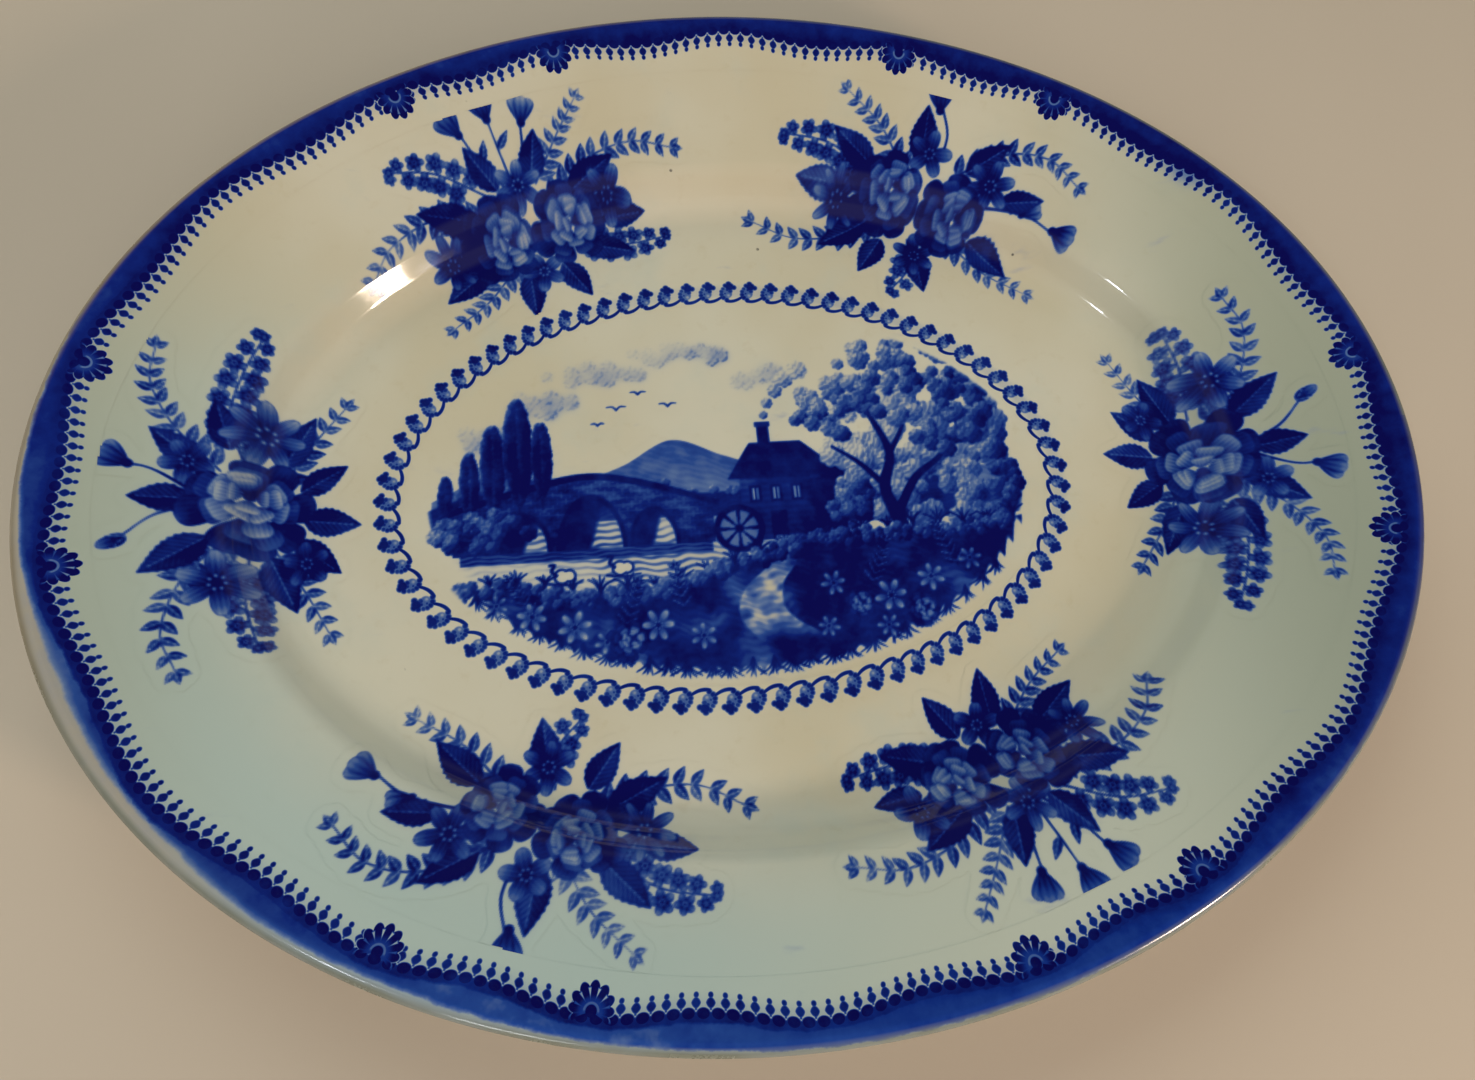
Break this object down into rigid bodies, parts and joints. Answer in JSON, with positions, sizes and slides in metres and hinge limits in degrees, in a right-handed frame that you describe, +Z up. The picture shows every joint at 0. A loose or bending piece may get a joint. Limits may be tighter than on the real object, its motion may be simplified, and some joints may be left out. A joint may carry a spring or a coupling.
{
  "type": "serving platter",
  "caption": "Large oval serving platter with a broad sloping rim, a shallow oval well and a foot ring, in glazed earthenware.",
  "frame": {"origin": "middle of the foot ring's bearing face, on the surface that the platter stands on", "axes": "+X along the platter's length, +Y across it, +Z up out of the well"},
  "size_m": [0.394, 0.308, 0.038],
  "materials": {
    "biscuit": "matte",
    "glaze": "gloss"
  },
  "bodies": {
    "root": {"biscuit_body": "biscuit", "face_glaze": "glaze", "back_glaze": "glaze", "base_glaze": "glaze"}
  },
  "joints": []
}
